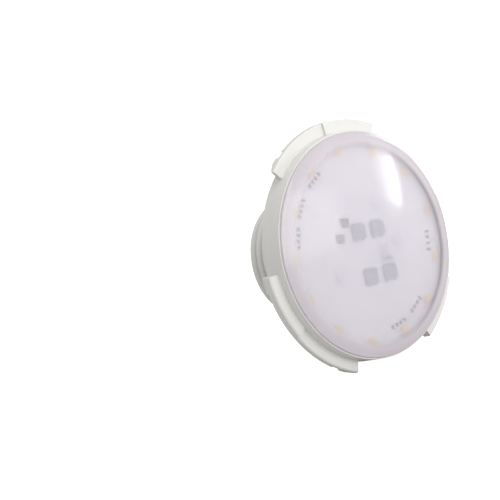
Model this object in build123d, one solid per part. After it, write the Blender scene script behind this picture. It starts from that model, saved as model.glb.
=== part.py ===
from build123d import *
import math
import os

# Underwater pool light: a round plastic body with a milky domed lens in front, three bayonet
# ears round its rim, and a threaded collar at the back that the supply cable leaves through.
# Millimetres. The lamp's axis is Y. The lens looks along -Y and the collar points along +Y.
# The origin is on the axis, in the plane of the rim's front edge, where the lens flange seats.
# An angle "round the face" starts at +Z and grows anticlockwise as seen from in front.
# What stands on a wall is sunk into it by join_depth, so that the two make one solid, and a cutter
# runs cut_margin past what it cuts.

# ---- driving dimensions: body ----
rim_r = 46.0
rim_wall = 2.2
rim_depth = 10.2
register_length = 3.4
rim_draft = 0.15
edge_round = 0.4
back_wall = 2.0
back_recess = 0.6
lip_width = 2.3
lip_slope = 0.7
join_depth = 0.5
cut_margin = 1.0

# ---- driving dimensions: bayonet ears ----
ear_count = 3
ear_first_deg = -29.0
ear_span_deg = 70.0
ear_reach = 5.0
ear_front_y = 4.4
ear_thickness = 3.3
ear_step = 0.8
ear_step_deg = 31.0
ear_round = 0.5
ramp_deg = 6.0
ramp_tip = 1.6
lug_deg = 2.5
lug_height = 0.7
notch_deg = 5.0
notch_depth = 1.0
web_deg = 8.0
web_reach = 3.6

# ---- driving dimensions: socket and boss on the back ----
socket_height = 12.2
socket_wall = 2.8
lobe_count = 4
lobe_height = 2.7
lobe_span_deg = 46.0
lobe_first_deg = 10.0
lobe_round = 0.5
gusset_width = 1.4
gusset_height = 4.0
gusset_drop = 1.1
boss_r = 8.2
boss_height = 4.0
boss_gap = 0.5
boss_deg = 50.0
boss_hole_r = 2.85
boss_hole_depth = 4.6
boss_round = 0.6
mould_ring_clear = 1.43
mould_ring_width = 0.8
mould_ring_height = 0.4
mould_ring_deg = 88.0
post_r = 3.2

# ---- driving dimensions: threaded collar ----
collar_bore_r = 20.0
collar_spigot_wall = 2.0
collar_wall = 2.8
thread_pitch = 3.4
thread_depth = 1.2
thread_length = 19.7
thread_lead = 0.8
thread_phase = 1.2
thread_profile = ((0.15, 0.40), (0.6, 0.32), (0.88, 0.23), (1.0, 0.13))
neck_length = 1.0
end_chamfer = 1.5
bore_chamfer = 0.3
socket_clearance = 0.04
collar_seal_rise = 4.0
collar_seal_groove = 0.9
collar_seal_width = 1.8

# ---- driving dimensions: lens ----
lens_inset = 0.6
lens_wall = 2.4
lens_sag = 9.0
lens_flange = 1.0
lens_edge_round = 0.35
skirt_wall = 1.7
skirt_length = 6.0
skirt_clearance = 0.2
seal_width = 1.5
seal_groove = 0.8
seal_from_front = 2.6

# ---- driving dimensions: board and what is on it ----
board_thickness = 1.6
board_clearance = 0.4
board_front_y = 0.4
board_turn_deg = -13.5
led_count = 13
led_first_deg = 14.3
led_ring_inset = 2.9
led_size = (3.5, 2.8, 0.8)
led_dome_r = 1.05
led_dome_top_r = 0.75
led_dome_height = 0.35
bank_inset = 6.3
bank_angles = (43.0, 66.0, 86.0, -87.0, -133.0, -154.0)
bank_pitch = 2.4
bank_count = 4
resistor_size = (0.85, 1.6, 0.5)
rectifier_size = (6.6, 5.7, 1.3)
rectifier_tab_width = 5.3
rectifier_lead_offset = 2.0
rectifier_places = ((-2.6, 5.0, 8.0), (7.7, 6.5, 8.0), (2.3, -12.9, 11.0), (12.8, -10.9, 11.0))
chip_size = (3.0, 3.6, 1.1)
chip_lead_rows = 4
chip_lead_width = 0.4
chip_places = ((-9.4, 8.6, 5.0), (-12.4, 2.2, 5.0))
capacitor_place = (12.0, -2.6)
capacitor_r = 3.15
capacitor_height = 4.6
capacitor_round = 0.4
capacitor_foot = (6.6, 6.6, 0.8)
lead_width = 0.9
lead_height = 0.4
lead_reach = 0.8
part_sink = 0.1

# ---- driving dimensions: screws, heat spreader, potting, terminal ----
screw_r = 1.5
screw_head_r = 2.7
screw_head_height = 1.6
screw_head_round = 0.5
screw_point = 0.75
screw_hole_spare = 0.5
screw_length = 8.0
screw_slot = 0.7
screw_clearance = 0.2
board_screw_ring_r = 19.0
board_screw_angles = (-25.0, -82.0, 132.0)
pad_thickness = 0.5
spreader_thickness = 1.5
spreader_gap = 0.4
potting_gap = 0.3
terminal_size = (10.0, 6.0, 4.4)
terminal_place = (-20.5, 8.0)
contact_r = 1.3
contact_bore_r = 0.9
contact_pitch = 5.0
contact_depth = 3.4
window_margin = 0.5
core_hole_r = 6.0
core_channel_width = 4.0
core_channel_depth = 1.3

# ---- driving dimensions: cable gland ----
gland_thread_r = 10.0
gland_hole_clearance = 0.15
gland_bore_r = 5.2
gland_flange_reach = 3.0
gland_flange_height = 5.0
gland_gasket_thickness = 1.5
gland_neck_r = 9.0
gland_neck_length = 8.0
locknut_wall = 2.0
locknut_height = 3.0
gland_thread_proud = 0.2
grommet_r = 7.0
grommet_depth = 5.0
grommet_proud = 1.0
grommet_bore_r = 4.0
washer_thickness = 0.8
washer_side_gap = 0.4
nut_wall = 2.25
nut_running_gap = 0.06
nut_lip_r = 5.0
nut_lip_thickness = 1.8
nut_seat_gap = 0.5
nut_chamfer = 1.0
nut_foot_chamfer = 0.5
flat_gap = 0.05

# ---- driving dimensions: label ----
label_size = (22.0, 7.0, 0.2)
label_deg = -31.5

# ---- places worked out from the driving dimensions ----
rim_inner_r = rim_r - rim_wall
lens_r = rim_r - lens_inset
lip_r = rim_r - lip_width
back_y = rim_depth - back_recess
wall_front_y = back_y - back_wall
skirt_r = rim_inner_r - skirt_clearance
skirt_inner_r = skirt_r - skirt_wall
board_r = skirt_inner_r - board_clearance
led_ring_r = board_r - led_ring_inset
bank_r = board_r - bank_inset
board_back_y = board_front_y + board_thickness
pad_back_y = board_back_y + pad_thickness
spreader_back_y = pad_back_y + spreader_thickness
terminal_end_y = board_back_y + terminal_size[2]
fill_r = skirt_inner_r - spreader_gap
ear_r = rim_r + ear_reach
ear_back_y = ear_front_y + ear_thickness
spigot_r = collar_bore_r + collar_spigot_wall
socket_bore_r = spigot_r + socket_clearance
socket_r = socket_bore_r + socket_wall
lobe_r = socket_r + lobe_height
flat_outer_r = lip_r - lip_slope
flat_centre_r = (lobe_r + flat_outer_r) / 2
mould_ring_r = (flat_outer_r - lobe_r) / 2 - mould_ring_clear
socket_top_y = back_y + socket_height
thread_root_r = collar_bore_r + collar_wall
thread_major_r = thread_root_r + thread_depth
end_face_r = thread_major_r - end_chamfer
thread_start_y = socket_top_y + neck_length
collar_end_y = thread_start_y + thread_length
collar_seal_y = back_y + collar_seal_rise
collar_groove_r = spigot_r - collar_seal_groove
boss_centre_r = socket_r + boss_gap + boss_r
through_hole_r = screw_r + screw_clearance
screw_end_y = board_front_y + screw_length
gland_flange_y = back_y + gland_gasket_thickness
gland_neck_y = gland_flange_y + gland_flange_height
gland_end_y = gland_neck_y + gland_neck_length
gland_start_y = wall_front_y - locknut_height - gland_thread_proud
washer_y = gland_end_y + grommet_proud + flat_gap
gland_flange_across = 2 * (gland_neck_r + gland_flange_reach)
locknut_across = 2 * (gland_thread_r + locknut_wall)
nut_bore_r = gland_neck_r + nut_running_gap
nut_across = 2 * (gland_neck_r + nut_wall)
nut_lip_y = washer_y + washer_thickness + flat_gap
nut_start_y = gland_neck_y + nut_seat_gap
nut_end_y = nut_lip_y + nut_lip_thickness
hexagon_corner = 1 / math.cos(math.pi / 6)


# ---- shared shapes ----
def turned(*corners):
    """A closed outline of (radius, y) corners turned round the lamp's axis."""
    return revolve(make_face(Polyline(*corners, close=True)), Axis.Y)


def ring(inner_r, outer_r, y0, y1):
    """A plain ring between two planes."""
    return turned((inner_r, y0), (outer_r, y0), (outer_r, y1), (inner_r, y1))


def disc(radius, y0, y1):
    """A plain disc between two planes."""
    return turned((0, y0), (radius, y0), (radius, y1), (0, y1))


def turn_to(piece, angle_deg):
    """Turns a piece made at the top of the face (+Z) to an angle round the face."""
    return piece.rotate(Axis.Y, -angle_deg)


def sector(face, start_deg, span_deg):
    """Turns an outline drawn at (radius, y) through a span that starts at an angle round the face."""
    return turn_to(revolve(face, Axis.Y, revolution_arc=span_deg), start_deg + span_deg + 90)


def outline(*corners):
    """A face from (radius, y) corners."""
    return make_face(Polyline(*corners, close=True))


def box_between(x0, x1, y0, y1, z0, z1):
    """A box from its six limits."""
    return Pos((x0 + x1) / 2, (y0 + y1) / 2, (z0 + z1) / 2) * Box(x1 - x0, y1 - y0, z1 - z0)


def post(radius, y0, y1, x=0.0, z=0.0):
    """A cylinder along the lamp's axis, set at a point of the face."""
    return Pos(x, 0, z) * disc(radius, y0, y1)


def hexagon(across_flats, y0, y1):
    """A hexagonal bar along the lamp's axis."""
    flat = RegularPolygon(across_flats / 2, 6, major_radius=False)
    return extrude(Plane((0, y0, 0), x_dir=(1, 0, 0), z_dir=(0, 1, 0)) * flat, y1 - y0)


def on_face(radius, angle_deg):
    """The (x, z) point at a radius and an angle round the face."""
    angle = math.radians(angle_deg)
    return -radius * math.sin(angle), radius * math.cos(angle)


def on_board(piece, right, up, turn_deg=0.0):
    """Sets a part made at the board's centre at its place, right and up in the board's own turn."""
    return turn_to(Pos(right, 0, up) * piece.rotate(Axis.Y, -turn_deg), board_turn_deg)


def screw_places():
    """The (x, z) point of each board screw."""
    return [on_face(board_screw_ring_r, angle + board_turn_deg) for angle in board_screw_angles]


def save(name, *solids):
    """Writes one sub-part."""
    export_step(solids[0] if len(solids) == 1 else Compound(children=list(solids)), f"parts/{name}.step")


os.makedirs("parts", exist_ok=True)


# ---- rear housing and the socket on its back ----
def ear(start_deg):
    """One bayonet ear: a stepped band with a ramp, lug and notch at one end, a stop web at the other."""
    inner_r = rim_r - rim_wall / 2

    def band(from_deg, span_deg, y0, y1, reach=ear_reach):
        outer_r = rim_r + reach
        cut = min(ear_round, (y1 - y0) / 3)
        face = outline(
            (inner_r, y0), (outer_r - cut, y0), (outer_r, y0 + cut),
            (outer_r, y1 - cut), (outer_r - cut, y1), (inner_r, y1),
        )
        return sector(face, start_deg + from_deg, span_deg)

    ramp_start = ear_span_deg - ramp_deg
    lug_start = ramp_start - lug_deg
    notch_start = lug_start - notch_deg
    body = band(0, ear_step_deg, ear_front_y - ear_step, ear_back_y)
    body += band(ear_step_deg, notch_start - ear_step_deg, ear_front_y, ear_back_y)
    body += band(notch_start, notch_deg, ear_front_y, ear_back_y - notch_depth)
    body += band(lug_start, ramp_deg + lug_deg, ear_front_y, ear_back_y + lug_height)
    body += band(0, web_deg, ear_back_y - ear_round, rim_depth, web_reach)
    run = (ear_r + cut_margin) * math.radians(ramp_deg)
    drop = ear_thickness + lug_height - ramp_tip
    far_x = -run - 2 * cut_margin
    top_y = drop + 2 * cut_margin
    side = make_face(Polyline((0, drop), (-run, 0), (far_x, 0), (far_x, top_y), (0, top_y), close=True))
    wedge = Pos(0, ear_front_y + ramp_tip, inner_r) * extrude(side, ear_r - inner_r + 2 * cut_margin)
    return body - turn_to(wedge, start_deg + ramp_start)


def rear_housing():
    """The moulded body: rim wall, back wall with its lip, ears, boss and screw posts."""
    body = turned(
        (rim_inner_r, 0), (rim_r, 0), (rim_r, register_length),
        (rim_r - rim_draft, rim_depth - edge_round), (rim_r - rim_draft - edge_round, rim_depth),
        (lip_r, rim_depth), (flat_outer_r, back_y), (0, back_y),
        (0, wall_front_y), (rim_inner_r, wall_front_y),
    )
    for index in range(ear_count):
        body += ear(ear_first_deg + 360 / ear_count * index)
    body -= disc(rim_inner_r, -cut_margin, wall_front_y)

    foot_y = back_y - join_depth
    boss_x, boss_z = on_face(boss_centre_r, boss_deg)
    boss_y = back_y + boss_height
    boss = turned(
        (0, foot_y), (boss_r, foot_y), (boss_r, boss_y - boss_round),
        (boss_r - boss_round, boss_y), (0, boss_y),
    )
    body += Pos(boss_x, 0, boss_z) * boss
    body -= post(boss_hole_r, boss_y - boss_hole_depth, boss_y + cut_margin, boss_x, boss_z)

    mark_x, mark_z = on_face(flat_centre_r, mould_ring_deg)
    mark = ring(mould_ring_r - mould_ring_width, mould_ring_r, foot_y, back_y + mould_ring_height)
    body += Pos(mark_x, 0, mark_z) * mark

    for x, z in screw_places():
        body += post(post_r, spreader_back_y, wall_front_y + join_depth, x, z)
        body -= post(screw_r, spreader_back_y - cut_margin, screw_end_y, x, z)

    body -= disc(gland_thread_r + gland_hole_clearance, wall_front_y - cut_margin, back_y + cut_margin)
    return body


def collar_socket():
    """The four-lobed ring bonded to the back wall, which the collar is set in."""
    socket = ring(socket_bore_r, socket_r, back_y, socket_top_y)
    lobe_inner_r = socket_r - join_depth
    cut = min(lobe_round, lobe_height / 3)
    gusset_top_y = socket_top_y - cut
    gusset_inner_r = lobe_r - join_depth
    gusset_deg = math.degrees(gusset_width / lobe_r)
    for index in range(lobe_count):
        start = lobe_first_deg + 360 / lobe_count * index - lobe_span_deg / 2
        face = outline(
            (lobe_inner_r, back_y), (lobe_r, back_y), (lobe_r, gusset_top_y),
            (lobe_r - cut, socket_top_y), (lobe_inner_r, socket_top_y),
        )
        socket += sector(face, start, lobe_span_deg)
        for share in (0.25, 0.75):
            gusset = outline(
                (gusset_inner_r, gusset_top_y), (lobe_r + gusset_drop, gusset_top_y),
                (gusset_inner_r, gusset_top_y - gusset_height),
            )
            socket += sector(gusset, start + share * lobe_span_deg - gusset_deg / 2, gusset_deg)
    return socket


save("rear_housing", rear_housing())
save("collar_socket", collar_socket())


# ---- threaded collar and its seal ----
def thread_ridge():
    """The right-hand thread's ridge, swept past both ends and trimmed to its lead at the socket."""
    run_out = thread_pitch
    path = Helix(
        thread_pitch, thread_length + 2 * run_out, thread_root_r,
        center=(0, thread_start_y - run_out + thread_phase, 0), direction=(0, 1, 0),
    )
    foot = (-join_depth, thread_profile[0][1] * thread_pitch)
    half = [foot] + [(out * thread_depth, width * thread_pitch) for out, width in thread_profile]
    lower = [(out, -width) for out, width in half]
    section = make_face(Polyline(*lower, *reversed(half), close=True))
    start = path @ 0
    outward = Vector(start.X, 0, start.Z).normalized()
    section = Plane(origin=start, x_dir=outward, z_dir=path % 0) * section
    ridge = sweep(section, path=path, is_frenet=True)
    inner_r = thread_root_r - 2 * cut_margin
    outer_r = thread_major_r + cut_margin
    lead_run = thread_lead * (outer_r - thread_root_r) / thread_depth
    span = turned(
        (inner_r, thread_start_y), (thread_root_r, thread_start_y), (outer_r, thread_start_y + lead_run),
        (outer_r, collar_end_y + cut_margin), (inner_r, collar_end_y + cut_margin),
    )
    return ridge & span


def end_cutter():
    """What is cut off past the collar's end, with the bore's small chamfer and the thread's large one."""
    outer_r = thread_major_r + cut_margin
    past_y = collar_end_y + 3 * cut_margin
    return turned(
        (0, collar_end_y - bore_chamfer), (collar_bore_r, collar_end_y - bore_chamfer),
        (collar_bore_r + bore_chamfer, collar_end_y), (end_face_r, collar_end_y),
        (outer_r, collar_end_y - (outer_r - end_face_r)), (outer_r, past_y), (0, past_y),
    )


def threaded_collar():
    """The tube that screws into the wall fitting: spigot, neck, coarse thread and chamfered end."""
    groove_end_y = collar_seal_y + collar_seal_width
    uncut_y = collar_end_y + 2 * cut_margin
    tube = turned(
        (collar_bore_r, back_y), (spigot_r, back_y), (spigot_r, collar_seal_y),
        (collar_groove_r, collar_seal_y), (collar_groove_r, groove_end_y),
        (spigot_r, groove_end_y), (spigot_r, socket_top_y),
        (thread_root_r, socket_top_y), (thread_root_r, uncut_y), (collar_bore_r, uncut_y),
    )
    return tube + thread_ridge() - end_cutter()


def collar_seal():
    """The square-section rubber ring in the spigot's groove."""
    start_y = collar_seal_y + flat_gap
    return ring(collar_groove_r, socket_bore_r, start_y, collar_seal_y + collar_seal_width - flat_gap)


save("threaded_collar", threaded_collar())
save("collar_seal", collar_seal())


# ---- lens and its seal ----
def lens_dome():
    """The milky domed lens: a thin spherical cap with a flange on the rim's edge and a skirt inside it."""
    sphere_r = (lens_r ** 2 + lens_sag ** 2) / (2 * lens_sag)
    apex_y = -lens_flange - lens_sag
    centre_y = apex_y + sphere_r

    def on_sphere(radius, share_r):
        return radius * share_r, centre_y - radius * math.sqrt(1 - share_r ** 2)

    edge_r = lens_r - lens_edge_round
    outer_end = (edge_r, centre_y - math.sqrt(sphere_r ** 2 - edge_r ** 2))
    inner_sphere_r = sphere_r - lens_wall
    inner_end = (skirt_inner_r, centre_y - math.sqrt(inner_sphere_r ** 2 - skirt_inner_r ** 2))
    outer_mid = on_sphere(sphere_r, edge_r / 2 / sphere_r)
    inner_mid = on_sphere(inner_sphere_r, skirt_inner_r / 2 / inner_sphere_r)
    groove_r = skirt_r - seal_groove
    groove_end = seal_from_front + seal_width + 2 * flat_gap
    rim_line = Polyline(
        outer_end, (lens_r, outer_end[1] + lens_edge_round), (lens_r, 0), (skirt_r, 0),
        (skirt_r, seal_from_front), (groove_r, seal_from_front), (groove_r, groove_end),
        (skirt_r, groove_end), (skirt_r, skirt_length), (skirt_inner_r, skirt_length), inner_end,
    )
    outer_arc = ThreePointArc((0, apex_y), outer_mid, outer_end)
    inner_arc = ThreePointArc(inner_end, inner_mid, (0, apex_y + lens_wall))
    axis_line = Line((0, apex_y + lens_wall), (0, apex_y))
    return revolve(make_face(Curve() + [outer_arc, rim_line, inner_arc, axis_line]), Axis.Y)


def lens_seal():
    """The rubber ring in the skirt's groove, pressed against the rim's inner wall."""
    start_y = seal_from_front + flat_gap
    return ring(skirt_r - seal_groove, rim_inner_r, start_y, start_y + seal_width)


save("lens_dome", lens_dome())
save("lens_seal", lens_seal())


# ---- circuit board and its parts ----
def block_on_board(width, height, thickness):
    """A block that stands on the board's front face, centred on the lamp's axis."""
    return Pos(0, board_front_y - thickness / 2, 0) * Box(width, thickness, height)


def led_board():
    """The round aluminium-core board with its screw holes."""
    board = disc(board_r, board_front_y, board_back_y)
    for x, z in screw_places():
        board -= post(through_hole_r, board_front_y - cut_margin, board_back_y + cut_margin, x, z)
    return board


def ring_led():
    """One surface-mount LED: a flat package with a low round dome of phosphor."""
    width, height, thickness = led_size
    top_y = board_front_y - thickness
    dome = turned(
        (0, top_y + part_sink), (led_dome_r, top_y + part_sink), (led_dome_r, top_y),
        (led_dome_top_r, top_y - led_dome_height), (0, top_y - led_dome_height),
    )
    return block_on_board(width, height, thickness) + dome


def ring_leds():
    """The ring of LEDs near the board's edge."""
    first_deg = led_first_deg + board_turn_deg
    led = Pos(0, 0, led_ring_r) * ring_led()
    return [turn_to(led, first_deg + 360 / led_count * index) for index in range(led_count)]


def resistor_banks():
    """Groups of four resistors in line, just inside the LED ring."""
    width, height, thickness = resistor_size
    found = []
    for angle in bank_angles:
        for index in range(bank_count):
            offset = (index - (bank_count - 1) / 2) * bank_pitch
            piece = Pos(offset, 0, bank_r) * block_on_board(width, height, thickness)
            found.append(turn_to(piece, angle + board_turn_deg))
    return found


def power_rectifiers():
    """Four square power packages, each with a tab on one side and two leads on the other."""
    width, height, thickness = rectifier_size
    lead_y = board_front_y - lead_height
    reach = height / 2 + lead_reach
    half_tab = rectifier_tab_width / 2
    package = block_on_board(width, height, thickness)
    package += box_between(-half_tab, half_tab, lead_y, board_front_y, height / 2 - part_sink, reach)
    for x in (-rectifier_lead_offset, rectifier_lead_offset):
        package += box_between(
            x - lead_width / 2, x + lead_width / 2, lead_y, board_front_y, -reach, -height / 2 + part_sink
        )
    return [on_board(package, right, up, turn) for right, up, turn in rectifier_places]


def driver_chips():
    """Two eight-lead driver chips."""
    width, height, thickness = chip_size
    reach = width / 2 + lead_reach
    lead_y = board_front_y - lead_height
    package = block_on_board(width, height, thickness)
    for row in range(chip_lead_rows):
        z = (row - (chip_lead_rows - 1) / 2) * height / chip_lead_rows
        package += box_between(
            -reach, reach, lead_y, board_front_y, z - chip_lead_width / 2, z + chip_lead_width / 2
        )
    return [on_board(package, right, up, turn) for right, up, turn in chip_places]


def smoothing_capacitor():
    """The round can on its square foot."""
    can_y = board_front_y - capacitor_foot[2] + part_sink
    top_y = board_front_y - capacitor_height
    can = turned(
        (0, can_y), (capacitor_r, can_y), (capacitor_r, top_y + capacitor_round),
        (capacitor_r - capacitor_round, top_y), (0, top_y),
    )
    return on_board(block_on_board(*capacitor_foot) + can, *capacitor_place)


def board_screws():
    """The slotted pan-head screws that hold the board and the heat spreader to the housing's posts."""
    head_y = board_front_y - screw_head_height
    tip_y = screw_end_y - screw_hole_spare
    screw = turned(
        (0, tip_y), (screw_r, tip_y - screw_point), (screw_r, board_front_y), (screw_head_r, board_front_y),
        (screw_head_r, head_y + screw_head_round), (screw_head_r - screw_head_round, head_y), (0, head_y),
    )
    half_slot = screw_slot / 2
    slot = box_between(
        -screw_head_r, screw_head_r, head_y - cut_margin, head_y + screw_slot, -half_slot, half_slot
    )
    return [
        Pos(x, 0, z) * (screw - slot.rotate(Axis.Y, angle))
        for (x, z), angle in zip(screw_places(), board_screw_angles)
    ]


save("led_board", led_board())
save("ring_leds", *ring_leds())
save("resistor_banks", *resistor_banks())
save("power_rectifiers", *power_rectifiers())
save("driver_chips", *driver_chips())
save("smoothing_capacitor", smoothing_capacitor())
save("board_screws", *board_screws())


# ---- heat path, supply terminal and potting ----
def terminal_box(margin, y0, y1):
    """The terminal's footprint grown by a margin, between two planes."""
    width, height, _ = terminal_size
    block = Box(width + 2 * margin, y1 - y0, height + 2 * margin)
    return on_board(Pos(0, (y0 + y1) / 2, 0) * block, *terminal_place)


def core_channel(y0, y1):
    """The hole over the gland and the channel from it to the terminal, where the cable's cores run."""
    right, up = terminal_place
    reach = math.hypot(right, up)
    turn = math.degrees(math.atan2(-right, up))
    half = core_channel_width / 2
    channel = turn_to(box_between(-half, half, y0, y1, 0, reach), turn + board_turn_deg)
    return disc(core_hole_r, y0, y1) + channel


def carrier(radius, y0, y1):
    """A disc behind the board, open over the gland, the terminal and the screws."""
    plate = disc(radius, y0, y1)
    plate -= core_channel(y0 - cut_margin, y1 + cut_margin)
    plate -= terminal_box(window_margin, y0 - cut_margin, y1 + cut_margin)
    for x, z in screw_places():
        plate -= post(through_hole_r, y0 - cut_margin, y1 + cut_margin, x, z)
    return plate


def contact_places():
    """The two contacts' places, right and up in the board's own turn."""
    right, up = terminal_place
    return [(right - contact_pitch / 2, up), (right + contact_pitch / 2, up)]


def supply_terminal():
    """The two-way terminal on the board's back, with a round pocket for each contact."""
    block = terminal_box(0, board_back_y, terminal_end_y)
    pocket = disc(contact_r, terminal_end_y - contact_depth, terminal_end_y + cut_margin)
    for right, up in contact_places():
        block -= on_board(pocket, right, up)
    return block


def terminal_contacts():
    """The two tubular contacts that the cable's cores push into."""
    contact = ring(contact_bore_r, contact_r, terminal_end_y - contact_depth, terminal_end_y)
    return [on_board(contact, right, up) for right, up in contact_places()]


def potting_resin():
    """The resin between the heat spreader and the back wall, cast round the locknut, posts and terminal."""
    start_y = spreader_back_y - cut_margin
    end_y = wall_front_y + cut_margin
    fill = disc(fill_r, spreader_back_y, wall_front_y)
    fill -= disc(locknut_across / 2 * hexagon_corner + potting_gap, start_y, end_y)
    fill -= core_channel(start_y, spreader_back_y + core_channel_depth)
    fill -= terminal_box(window_margin, start_y, end_y)
    for x, z in screw_places():
        fill -= post(post_r, start_y, end_y, x, z)
    return fill


save("thermal_pad", carrier(board_r, board_back_y, pad_back_y))
save("heat_spreader", carrier(fill_r, pad_back_y, spreader_back_y))
save("supply_terminal", supply_terminal())
save("terminal_contacts", *terminal_contacts())
save("potting_resin", potting_resin())


# ---- cable gland ----
def gland_body():
    """The hollow gland: a thread through the back wall, a hexagonal flange and the neck its nut runs on."""
    gland = disc(gland_thread_r, gland_start_y, gland_flange_y)
    gland += hexagon(gland_flange_across, gland_flange_y, gland_neck_y)
    gland += disc(gland_neck_r, gland_neck_y, gland_end_y)
    gland -= disc(gland_bore_r, gland_start_y - cut_margin, gland_end_y + cut_margin)
    return gland - disc(grommet_r, gland_end_y - grommet_depth, gland_end_y + cut_margin)


def gland_gasket():
    """The flat rubber ring under the gland's flange."""
    return ring(gland_thread_r + flat_gap, gland_flange_across / 2, back_y, gland_flange_y)


def gland_locknut():
    """The thin hexagonal nut that holds the gland from inside."""
    start_y = wall_front_y - locknut_height
    bar = hexagon(locknut_across, start_y, wall_front_y)
    return bar - disc(gland_thread_r, start_y - cut_margin, wall_front_y + cut_margin)


def gland_grommet():
    """The rubber bush that the washer squeezes round the cable."""
    return ring(grommet_bore_r, grommet_r, gland_end_y - grommet_depth, gland_end_y + grommet_proud)


def gland_washer():
    """The slip washer between the nut's lip and the grommet."""
    return ring(nut_lip_r + flat_gap, nut_bore_r - washer_side_gap, washer_y, washer_y + washer_thickness)


def gland_nut():
    """The cap nut: hexagonal outside, smooth bore over the neck and a lip that presses the washer down."""
    flat_r = nut_across / 2
    corner_r = flat_r * hexagon_corner
    nut = hexagon(nut_across, nut_start_y, nut_end_y)
    nut &= turned(
        (0, nut_start_y), (flat_r, nut_start_y), (corner_r, nut_start_y + nut_foot_chamfer),
        (corner_r, nut_end_y - nut_chamfer), (flat_r - nut_chamfer, nut_end_y), (0, nut_end_y),
    )
    nut -= disc(nut_bore_r, nut_start_y - cut_margin, nut_lip_y)
    return nut - disc(nut_lip_r, nut_lip_y - cut_margin, nut_end_y + cut_margin)


save("gland_body", gland_body())
save("gland_gasket", gland_gasket())
save("gland_locknut", gland_locknut())
save("gland_grommet", gland_grommet())
save("gland_washer", gland_washer())
save("gland_nut", gland_nut())


# ---- label ----
def back_label():
    """The blank film stuck on the back, beside the socket."""
    width, height, thickness = label_size
    film = box_between(-width / 2, width / 2, back_y, back_y + thickness, -height / 2, height / 2)
    return turn_to(Pos(0, 0, flat_centre_r) * film, label_deg)


save("back_label", back_label())
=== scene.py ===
import math

import bpy
from mathutils import Matrix, Vector


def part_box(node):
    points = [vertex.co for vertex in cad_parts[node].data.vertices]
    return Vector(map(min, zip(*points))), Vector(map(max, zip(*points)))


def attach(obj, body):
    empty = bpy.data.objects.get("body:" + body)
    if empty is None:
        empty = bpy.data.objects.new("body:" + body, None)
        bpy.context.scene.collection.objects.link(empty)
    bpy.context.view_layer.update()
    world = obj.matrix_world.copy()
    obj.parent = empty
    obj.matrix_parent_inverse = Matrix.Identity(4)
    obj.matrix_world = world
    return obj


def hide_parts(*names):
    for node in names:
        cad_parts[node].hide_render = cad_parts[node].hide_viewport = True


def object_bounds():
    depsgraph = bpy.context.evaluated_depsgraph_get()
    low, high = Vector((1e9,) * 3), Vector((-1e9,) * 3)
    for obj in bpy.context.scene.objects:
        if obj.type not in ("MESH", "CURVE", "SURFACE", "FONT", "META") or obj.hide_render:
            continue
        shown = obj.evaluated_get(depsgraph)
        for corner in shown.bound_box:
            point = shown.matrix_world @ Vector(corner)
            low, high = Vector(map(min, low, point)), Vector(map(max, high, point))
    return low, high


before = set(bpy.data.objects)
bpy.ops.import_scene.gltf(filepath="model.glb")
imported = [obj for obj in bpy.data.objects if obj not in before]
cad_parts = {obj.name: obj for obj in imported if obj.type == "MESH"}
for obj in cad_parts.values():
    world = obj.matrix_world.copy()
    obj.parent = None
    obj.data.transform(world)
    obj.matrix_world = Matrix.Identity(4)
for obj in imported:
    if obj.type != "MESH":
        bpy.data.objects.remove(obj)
cad_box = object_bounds()


# ---- rear housing, collar socket and threaded collar ----
# The body is moulded in warm grey-white ABS with a fine spark-eroded satin. The socket ring is bonded on
# its back, and the collar is a separate moulding of the same plastic, bonded into the socket.

class Sock:
    """A shader socket that can be used in sums, with one method that adds any other node."""

    def __init__(self, tree, output=None):
        self.tree = tree
        self.output = output

    def give(self, socket, value):
        """Links a socket to a Sock, or sets it to a plain value."""
        if isinstance(value, Sock):
            self.tree.links.new(value.output, socket)
        else:
            socket.default_value = value

    def node(self, kind, settings=None, inputs=None, output=0):
        """Adds a node, with its settings first and then its sockets."""
        made = self.tree.nodes.new("ShaderNode" + kind)
        for name, value in (settings or {}).items():
            setattr(made, name, value)
        for name, value in (inputs or {}).items():
            self.give(made.inputs[name], value)
        return Sock(self.tree, made.outputs[output])

    def math(self, operation, first, second):
        return self.node("Math", {"operation": operation}, {0: first, 1: second})

    def __add__(self, other):
        return self.math("ADD", self, other)

    def __sub__(self, other):
        return self.math("SUBTRACT", self, other)

    def __rsub__(self, other):
        return self.math("SUBTRACT", other, self)

    def __mul__(self, other):
        return self.math("MULTIPLY", self, other)

    __radd__ = __add__
    __rmul__ = __mul__


def start_material(name):
    """A new material, with a socket wrapper to build on and its own Principled shader."""
    material = bpy.data.materials.new(name)
    material.use_nodes = True
    return material, Sock(material.node_tree), material.node_tree.nodes["Principled BSDF"]


def feed(shade, shader, **values):
    """Sets or links a node's sockets, named with _ for a space."""
    for name, value in values.items():
        shade.give(shader.inputs[name.replace("_", " ")], value)


def noise(shade, scale, detail, stretch=(1, 1, 1)):
    """Noise on the piece's own coordinates, from 0 to 1. Scale is in cells for each metre."""
    place = shade.node("TexCoord", output="Object")
    place = shade.node("Mapping", {}, {"Vector": place, "Scale": stretch})
    return shade.node("TexNoise", {}, {"Vector": place, "Scale": scale, "Detail": detail})


def between(shade, mask, first, second):
    """The first colour where the mask is 0 and the second where it is 1. Either may be a socket."""
    ends = [end if isinstance(end, Sock) else (*end, 1) for end in (first, second)]
    return shade.node("Mix", {"data_type": "RGBA"}, {"Factor": mask, "A": ends[0], "B": ends[1]}, "Result")


def relief(shade, height, depth, strength):
    """The surface's normal over a fine relief, from its height mask and its depth in metres."""
    return shade.node("Bump", {}, {"Height": height, "Distance": depth, "Strength": strength}, "Normal")


def dress(material, *names):
    """Gives CAD nodes a material."""
    for name in names:
        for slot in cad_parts[name].material_slots:
            slot.material = material


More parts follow.
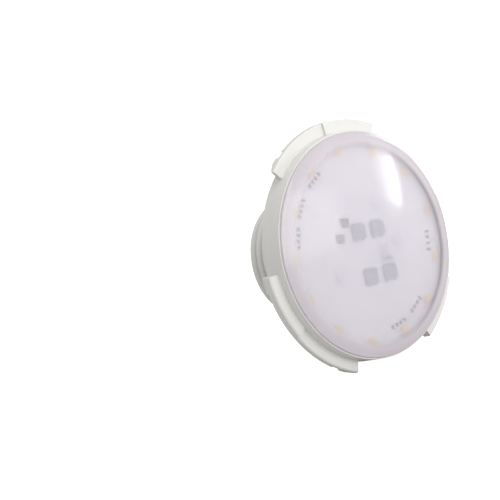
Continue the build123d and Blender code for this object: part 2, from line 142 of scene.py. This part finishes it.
abs_light = (0.725, 0.715, 0.690)
abs_dark = (0.680, 0.668, 0.642)
abs_plastic, shade, shader = start_material("moulded_abs")
cloud = noise(shade, 38, 4)
grain = noise(shade, 5200, 2)
flow = noise(shade, 260, 3, (1, 0.25, 1))
height = grain * 0.6 + flow * 0.4
feed(
    shade, shader,
    Base_Color=between(shade, cloud, abs_dark, abs_light),
    Roughness=0.36 + cloud * 0.10 + grain * 0.06,
    IOR=1.53,
    Normal=relief(shade, height, 0.00003, 0.35),
)
dress(abs_plastic, "rear_housing", "collar_socket", "threaded_collar")


# ---- seals ----
# Square-section nitrile rings, moulded black: one in the lens skirt's groove, one round the collar's spigot,
# and the gland's flat gasket and cable bush.

seal_rubber, shade, shader = start_material("black_rubber")
bloom = noise(shade, 140, 4)
feed(
    shade, shader,
    Base_Color=between(shade, bloom, (0.012, 0.012, 0.013), (0.032, 0.032, 0.034)),
    Roughness=0.55 + bloom * 0.2,
    Normal=relief(shade, noise(shade, 3200, 2), 0.00002, 0.5),
)
dress(seal_rubber, "lens_seal", "collar_seal", "gland_gasket", "gland_grommet")


# ---- board and heat path ----
# A white solder-masked aluminium board is pressed by its screws on a filled silicone pad, and the pad on a
# rolled aluminium disc that carries the heat away.

mask_white, shade, shader = start_material("solder_mask")
mottle = noise(shade, 90, 4)
feed(
    shade, shader,
    Base_Color=between(shade, mottle, (0.78, 0.79, 0.78), (0.85, 0.86, 0.85)),
    Roughness=0.30 + mottle * 0.15,
)
dress(mask_white, "led_board")

pad_grey, shade, shader = start_material("filled_silicone")
fleck = noise(shade, 2600, 3)
feed(
    shade, shader,
    Base_Color=between(shade, fleck, (0.20, 0.25, 0.31), (0.33, 0.38, 0.45)),
    Roughness=0.6 + fleck * 0.2,
)
dress(pad_grey, "thermal_pad")

rolled_aluminium, shade, shader = start_material("rolled_aluminium")
streak = noise(shade, 900, 3, (0.04, 1, 1))
feed(
    shade, shader,
    Base_Color=between(shade, streak, (0.70, 0.71, 0.73), (0.84, 0.84, 0.86)),
    Metallic=1.0,
    Roughness=0.28 + streak * 0.18,
)
dress(rolled_aluminium, "heat_spreader")


# ---- what stands on the board ----
# Surface-mount LEDs with yellow phosphor, black glazed resistors, blue-grey power packages, black driver
# chips, a drawn aluminium capacitor can and stainless screws, all soldered or screwed from the front.

phosphor, shade, shader = start_material("led_phosphor")
crystal = noise(shade, 6000, 2)
feed(
    shade, shader,
    Base_Color=between(shade, crystal, (0.82, 0.56, 0.20), (0.90, 0.72, 0.34)),
    Roughness=0.35 + crystal * 0.2,
)
dress(phosphor, "ring_leds")

glaze_black, shade, shader = start_material("resistor_glaze")
speck = noise(shade, 4000, 2)
feed(
    shade, shader,
    Base_Color=between(shade, speck, (0.018, 0.018, 0.022), (0.045, 0.045, 0.052)),
    Roughness=0.2 + speck * 0.2,
)
dress(glaze_black, "resistor_banks", "driver_chips")

package_blue, shade, shader = start_material("power_epoxy")
speck = noise(shade, 3000, 3)
feed(
    shade, shader,
    Base_Color=between(shade, speck, (0.20, 0.23, 0.30), (0.26, 0.29, 0.36)),
    Roughness=0.45 + speck * 0.2,
)
dress(package_blue, "power_rectifiers")

can_metal, shade, shader = start_material("drawn_can")
brush = noise(shade, 1500, 2, (1, 0.05, 1))
feed(
    shade, shader,
    Base_Color=between(shade, brush, (0.72, 0.72, 0.74), (0.84, 0.84, 0.86)),
    Metallic=0.6,
    Roughness=0.25 + brush * 0.15,
)
dress(can_metal, "smoothing_capacitor")

stainless, shade, shader = start_material("stainless_steel")
satin = noise(shade, 1100, 2)
feed(
    shade, shader,
    Base_Color=between(shade, satin, (0.74, 0.74, 0.75), (0.86, 0.86, 0.87)),
    Metallic=0.35,
    Roughness=0.42 + satin * 0.12,
)
dress(stainless, "board_screws")


# ---- solder joints ----
# Small fillets of reflowed tin at the two ends of each surface-mount resistor. The paste is printed on the
# board and melted in an oven, and holds the resistor by its end caps.

def smooth(piece):
    """Shades a finished piece smooth, apart from edges that turn by more than 35 degrees."""
    bpy.ops.object.select_all(action="DESELECT")
    piece.select_set(True)
    bpy.context.view_layer.objects.active = piece
    bpy.ops.object.shade_smooth_by_angle(angle=math.radians(35))


def bench(operator, **sizes):
    """A new primitive at the origin, in edit mode and selected all over, with all else deselected."""
    bpy.ops.object.select_all(action="DESELECT")
    operator(location=(0, 0, 0), **sizes)
    bpy.ops.object.mode_set(mode="EDIT")
    bpy.ops.mesh.select_all(action="SELECT")
    return bpy.context.active_object


def off_bench(piece):
    """Ends the work on a primitive, and takes its shape away as a mesh to copy."""
    bpy.ops.object.mode_set(mode="OBJECT")
    bpy.ops.object.transform_apply(location=True, rotation=True, scale=True)
    pattern = piece.data.copy()
    bpy.data.objects.remove(piece)
    return pattern


def set_out(name, pattern, placings):
    """Copies a mesh to each placing, and joins the copies into one piece."""
    bpy.ops.object.select_all(action="DESELECT")
    for placing in placings:
        mesh = pattern.copy()
        mesh.transform(placing)
        piece = bpy.data.objects.new(name, mesh)
        bpy.context.scene.collection.objects.link(piece)
        piece.select_set(True)
    bpy.context.view_layer.objects.active = piece
    bpy.ops.object.join()
    piece = bpy.context.active_object
    piece.name = name
    return piece


def islands(name):
    """The corners (low, high) of each separate lump in a CAD node's mesh. Points are one to a micrometre."""
    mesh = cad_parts[name].data
    parent = {}

    def root(key):
        while parent[key] != key:
            key = parent[key]
        return key

    keys = [tuple(round(c, 6) for c in v.co) for v in mesh.vertices]
    for key in keys:
        parent[key] = key
    for face in mesh.polygons:
        first = root(keys[face.vertices[0]])
        for index in face.vertices[1:]:
            parent[root(keys[index])] = first
    lumps = {}
    for key in set(keys):
        lumps.setdefault(root(key), []).append(key)
    boxes = []
    for points in lumps.values():
        spans = list(zip(*points))
        boxes.append((Vector(min(span) for span in spans), Vector(max(span) for span in spans)))
    return sorted(boxes, key=lambda box: tuple(box[0]))


tin, shade, shader = start_material("reflowed_tin")
frost = noise(shade, 5000, 2)
feed(
    shade, shader,
    Base_Color=between(shade, frost, (0.74, 0.74, 0.76), (0.88, 0.88, 0.90)),
    Metallic=0.7,
    Roughness=0.24 + frost * 0.2,
)
board_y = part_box("led_board")[0].y
fillet_width = 0.00085
fillet_depth = fillet_width / 2
fillet_height = 0.00028
fillet_bevel = fillet_height * 0.42
joint_reach = 0.00078
fillets = []
for low, high in islands("resistor_banks"):
    middle = (low + high) / 2
    round_face = math.atan2(middle.x, middle.z)
    outward = Vector((math.sin(round_face), 0, math.cos(round_face)))
    for side in (-1, 1):
        spot = Vector((middle.x, board_y, middle.z)) + outward * joint_reach * side
        fillets.append((spot, round_face))

joint = bench(bpy.ops.mesh.primitive_cube_add, size=1)
bpy.ops.transform.resize(value=(fillet_width, fillet_height, fillet_depth), center_override=(0, 0, 0))
bpy.ops.mesh.bevel(offset=fillet_bevel, segments=2)
solder = set_out("resistor_solder", off_bench(joint), [
    Matrix.Translation(spot) @ Matrix.Rotation(round_face, 4, "Y") for spot, round_face in fillets
])
smooth(solder)
solder.data.materials.append(tin)
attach(solder, "light")


# ---- ejector marks ----
# Faint round witness marks on the flat of the back wall, in the housing's own plastic. The pins that push
# the housing out of its mould leave them.

mark_r = 0.0022
mark_height = 0.00012
mark_bevel = mark_height * 0.6
mark_sides = 48
mark_ring_r = 0.0385
back_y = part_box("back_label")[0].y
mark_angles = (8, 128, 158, 205, 248, 292)
mark = bench(
    bpy.ops.mesh.primitive_cylinder_add, radius=mark_r, depth=2 * mark_height, vertices=mark_sides,
    rotation=(math.pi / 2, 0, 0),
)
bpy.ops.mesh.bevel(offset=mark_bevel, segments=2)
placings = []
for angle in map(math.radians, mark_angles):
    spot = Vector((-mark_ring_r * math.sin(angle), back_y, mark_ring_r * math.cos(angle)))
    placings.append(Matrix.Translation(spot))
ejector_marks = set_out("ejector_marks", off_bench(mark), placings)
smooth(ejector_marks)
ejector_marks.data.materials.append(abs_plastic)
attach(ejector_marks, "light")


# ---- terminal and potting ----
# A two-way terminal in natural nylon on the board's back, with brass contacts that the supply cable's cores
# push into. Black potting resin is cast round it, between the heat spreader and the back wall.

nylon, shade, shader = start_material("terminal_nylon")
cloud = noise(shade, 300, 3)
feed(
    shade, shader,
    Base_Color=between(shade, cloud, (0.66, 0.65, 0.60), (0.74, 0.73, 0.68)),
    Roughness=0.4 + cloud * 0.15,
)
dress(nylon, "supply_terminal")

brass, shade, shader = start_material("contact_brass")
cloud = noise(shade, 900, 3)
feed(
    shade, shader,
    Base_Color=between(shade, cloud, (0.62, 0.42, 0.13), (0.78, 0.57, 0.22)),
    Metallic=1.0, Roughness=0.22 + cloud * 0.2,
)
dress(brass, "terminal_contacts")

resin, shade, shader = start_material("potting_resin")
cloud = noise(shade, 160, 3)
feed(
    shade, shader,
    Base_Color=between(shade, cloud, (0.010, 0.010, 0.012), (0.022, 0.022, 0.026)),
    Roughness=0.12 + cloud * 0.15,
)
dress(resin, "potting_resin")


# ---- cable gland ----
# Moulded in light grey nylon: a body through the back wall, a locknut inside and a cap nut that squeezes the
# bush round the cable. The slip washer under the nut's lip is acetal.

gland_nylon, shade, shader = start_material("gland_nylon")
cloud = noise(shade, 120, 3)
grain = noise(shade, 4200, 2)
feed(
    shade, shader,
    Base_Color=between(shade, cloud, (0.52, 0.52, 0.50), (0.60, 0.60, 0.58)),
    Roughness=0.42 + cloud * 0.1,
    Normal=relief(shade, grain, 0.00003, 0.4),
)
dress(gland_nylon, "gland_body", "gland_locknut", "gland_nut")

acetal, shade, shader = start_material("slip_washer")
cloud = noise(shade, 200, 3)
feed(
    shade, shader,
    Base_Color=between(shade, cloud, (0.74, 0.74, 0.72), (0.80, 0.80, 0.78)),
    Roughness=0.25 + cloud * 0.1,
)
dress(acetal, "gland_washer")


# ---- label ----
# A blank white vinyl film, cut from a roll with its adhesive, and stuck on the back wall beside the socket.
# It has a soft satin and hardly any mottle.

film, shade, shader = start_material("label_film")
cloud = noise(shade, 60, 2)
feed(
    shade, shader,
    Base_Color=between(shade, cloud, (0.87, 0.87, 0.89), (0.90, 0.90, 0.92)),
    Roughness=0.34 + cloud * 0.06,
)
dress(film, "back_label")


# ---- lens ----
# A milky polycarbonate dome with a flange and a skirt, moulded in one. The flange seats on the rim's edge and
# the skirt goes down inside the rim. The middle lets the board show faintly, and the thick edge is opaque.
# The thick edge and a thin ring at the rim are coloured darker, as painted shade.

low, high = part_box("lens_dome")
lens_r = high.x
lens_wall = 0.0024
flange_y = 0.0
flange_front_y = -0.0010
apex_y = low.y
skirt_end_y = high.y
skirt_r = 0.0436
skirt_wall = 0.0017
edge_round = 0.00035
groove_front_y = 0.0026
groove_back_y = 0.0042
groove_depth = 0.0008

sag = flange_front_y - apex_y
rim_reach = lens_r - edge_round
outer_ball_r = (rim_reach ** 2 + sag ** 2) / (2 * sag)
inner_ball_r = outer_ball_r - lens_wall
ball_y = apex_y + outer_ball_r
skirt_inner_r = skirt_r - skirt_wall
groove_r = skirt_r - groove_depth
dome_steps = 48
edge_steps = 6
turn_steps = 192
merge_distance = 0.000004

profile = [(0.0, apex_y)]
for step in range(1, dome_steps + 1):
    reach = rim_reach * step / dome_steps
    profile.append((reach, ball_y - math.sqrt(outer_ball_r ** 2 - reach ** 2)))
for step in range(1, edge_steps + 1):
    angle = math.radians(90 * step / edge_steps)
    profile.append((
        rim_reach + edge_round * math.sin(angle), flange_front_y + edge_round * (1 - math.cos(angle)),
    ))
profile += [
    (lens_r, flange_y), (skirt_r, flange_y), (skirt_r, groove_front_y), (groove_r, groove_front_y),
    (groove_r, groove_back_y), (skirt_r, groove_back_y), (skirt_r, skirt_end_y), (skirt_inner_r, skirt_end_y),
]
for step in range(dome_steps, -1, -1):
    reach = skirt_inner_r * step / dome_steps
    profile.append((reach, ball_y - math.sqrt(inner_ball_r ** 2 - reach ** 2)))

lens = bench(bpy.ops.mesh.primitive_plane_add, size=lens_r)
lens.name = lens.data.name = "lens"
bpy.ops.mesh.merge(type="CENTER")
bpy.ops.transform.translate(value=(*profile[0], 0))
for (reach, y), (next_reach, next_y) in zip(profile, profile[1:]):
    bpy.ops.mesh.extrude_vertices_move(TRANSFORM_OT_translate={"value": (next_reach - reach, next_y - y, 0)})
bpy.ops.mesh.select_all(action="SELECT")
bpy.ops.mesh.spin(steps=turn_steps, angle=2 * math.pi, center=(0, 0, 0), axis=(0, 1, 0))
bpy.ops.mesh.select_all(action="SELECT")
bpy.ops.mesh.remove_doubles(threshold=merge_distance)
bpy.ops.mesh.normals_make_consistent(inside=False)
bpy.ops.object.mode_set(mode="OBJECT")
smooth(lens)

clear_to_r = 0.0390
opaque_from_r = 0.0423
shade_ring_from_r = 0.0438
shade_ring_to_r = 0.0452
milk, shade, shader = start_material("milky_polycarbonate")
place = shade.node("TexCoord", output="Object")
flat_place = shade.node("Mapping", {}, {"Vector": place, "Scale": (1, 0, 1)})
off_axis = shade.node("VectorMath", {"operation": "LENGTH"}, {0: flat_place}, "Value")
thick_edge = shade.node("MapRange", {"interpolation_type": "SMOOTHSTEP"}, {
    "Value": off_axis, "From Min": clear_to_r, "From Max": opaque_from_r, "To Min": 0.0, "To Max": 1.0,
}, "Result")
# Painted shade: a thin darker ring at the lens's rim, mixed into the base colour.
painted_shade_ring = shade.node("MapRange", {"interpolation_type": "SMOOTHSTEP"}, {
    "Value": off_axis, "From Min": shade_ring_from_r, "From Max": shade_ring_to_r, "To Min": 0.0, "To Max": 1.0,
}, "Result")
veil = noise(shade, 26, 3)
swirl = noise(shade, 60, 4)
pearl = between(shade, veil, (0.80, 0.765, 0.81), (0.86, 0.835, 0.87))
# Painted shade: the thick edge gets a darker pearl colour, which stands in for shade on that ring.
painted_edge_shade = between(shade, veil, (0.70, 0.645, 0.685), (0.745, 0.70, 0.74))
pearl = between(shade, thick_edge, pearl, painted_edge_shade)
feed(
    shade, shader,
    Base_Color=between(shade, painted_shade_ring * 0.6, pearl, (0.66, 0.60, 0.63)),
    Roughness=0.10 + veil * 0.03 + swirl * 0.02,
    IOR=1.58,
)
surface = Sock(shade.tree, shader.outputs[0])
glow = shade.node("BsdfTranslucent", {}, {"Color": (0.86, 0.83, 0.87, 1)})
clear = shade.node("BsdfTransparent", {}, {"Color": (0.98, 0.97, 0.99, 1)})
glow_share = 0.22 + thick_edge * 0.09
clear_share = (0.60 + veil * 0.06) * (1 - thick_edge)
body = shade.node("MixShader", {}, {0: glow_share, 1: surface, 2: glow})
body = shade.node("MixShader", {}, {0: clear_share, 1: body, 2: clear})
feed(shade, shade.tree.nodes["Material Output"], Surface=body)
lens.data.materials.append(milk)
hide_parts("lens_dome")
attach(lens, "light")


# ---- camera ----
# A little above the light and to the left of its face, rolled so that the light's own top leans to the left.
# It stands far off with a long lens, so that the light hardly narrows with depth.

turn = math.radians(-42.8)
rise = math.radians(4.0)
roll = math.radians(-14.7)
camera_distance = 4.5
view_width = 0.199
aim_left = 0.0461
aim_down = 0.0023
back = Vector((math.sin(turn) * math.cos(rise), -math.cos(turn) * math.cos(rise), math.sin(rise)))
level = Vector((math.cos(turn), math.sin(turn), 0))
upright = back.cross(level)
right = level * math.cos(roll) + upright * math.sin(roll)
up = upright * math.cos(roll) - level * math.sin(roll)
aim = Vector((0, flange_front_y, 0)) - right * aim_left - up * aim_down
camera = bpy.data.objects.new("camera", bpy.data.cameras.new("camera"))
bpy.context.scene.collection.objects.link(camera)
camera.data.lens = camera.data.sensor_width / view_width * camera_distance
camera.data.clip_end = 100
seat = aim + back * camera_distance
camera.matrix_world = Matrix((
    (right.x, up.x, back.x, seat.x),
    (right.y, up.y, back.y, seat.y),
    (right.z, up.z, back.z, seat.z),
    (0, 0, 0, 1),
))
bpy.context.scene.camera = camera


# ---- studio ----
# A white floor in an even room, a large soft key in front of the lens, a soft light from above, and two tall
# strips to the right and behind, which draw the highlight on the dome and its fading side.

def softbox(name, direction, distance, size, power, along=(0, 1, 0)):
    """An area light that faces the part. Directions are along the camera's right, up and back."""
    lamp = bpy.data.lights.new(name, "AREA")
    lamp.shape = "RECTANGLE"
    lamp.size, lamp.size_y = size
    lamp.energy = power
    holder = bpy.data.objects.new(name, lamp)
    bpy.context.scene.collection.objects.link(holder)
    axes = Matrix((right, up, back)).transposed()
    way = (axes @ Vector(direction)).normalized()
    side = (axes @ Vector(along)).cross(way).normalized()
    length = way.cross(side)
    place = way * distance
    holder.matrix_world = Matrix((
        (side.x, length.x, way.x, place.x),
        (side.y, length.y, way.y, place.y),
        (side.z, length.z, way.z, place.z),
        (0, 0, 0, 1),
    ))


softbox("key", (0.67, 0.12, 0.73), distance=1.4, size=(1.3, 1.3), power=16)
softbox("top", (0.05, 0.95, 0.25), distance=1.4, size=(0.7, 0.7), power=4)
strip_distance = 0.8
strip_top = Vector((0.791, 0.502, -0.348))
strip_foot = Vector((0.916, 0.326, -0.234))
strip_middle = (strip_top + strip_foot) / 2
strip_along = strip_top - strip_foot
strip_side = strip_along.cross(strip_middle).normalized()
for name, shift, size, power in (
    ("streak", 0.018, (0.028, 0.20), 0.75),
    ("streak_fade", 0.090, (0.090, 0.24), 0.50),
):
    softbox(name, strip_middle - strip_side * shift, strip_distance, size, power, strip_along)

room_middle = 0.74
room_swing = 0.12
world = bpy.data.worlds.new("room")
bpy.context.scene.world = world
world.use_nodes = True
room = Sock(world.node_tree)
bright_side = (right * 0.55 + up * 0.35 + back * 0.75).normalized()
facing = room.node("VectorMath", {"operation": "DOT_PRODUCT"}, {
    0: room.node("TexCoord", output="Generated"), 1: bright_side,
}, "Value")
room_light = room_middle + facing * room_swing
seen = room.node("LightPath", output="Is Camera Ray")
feed(
    room, world.node_tree.nodes["Background"],
    Color=(1, 1, 1, 1),
    Strength=room_light * (1 - seen) + seen,
)

floor_size = 40
floor_gap = 0.0002
floor_grey = (0.55, 0.55, 0.55, 1)
floor_glow = 0.80
bpy.ops.object.select_all(action="DESELECT")
bpy.ops.mesh.primitive_plane_add(size=floor_size, location=(0, 0, cad_box[0].z - floor_gap))
floor = bpy.context.active_object
floor.name = "floor"
floor_white, shade, shader = start_material("floor_white")
seen = shade.node("LightPath", output="Is Camera Ray")
feed(
    shade, shader,
    Base_Color=floor_grey,
    Roughness=0.9,
    Emission_Color=between(shade, seen, (0, 0, 0), (1, 1, 1)),
    Emission_Strength=floor_glow,
)
floor.data.materials.append(floor_white)

bpy.context.scene.view_settings.view_transform = "Standard"
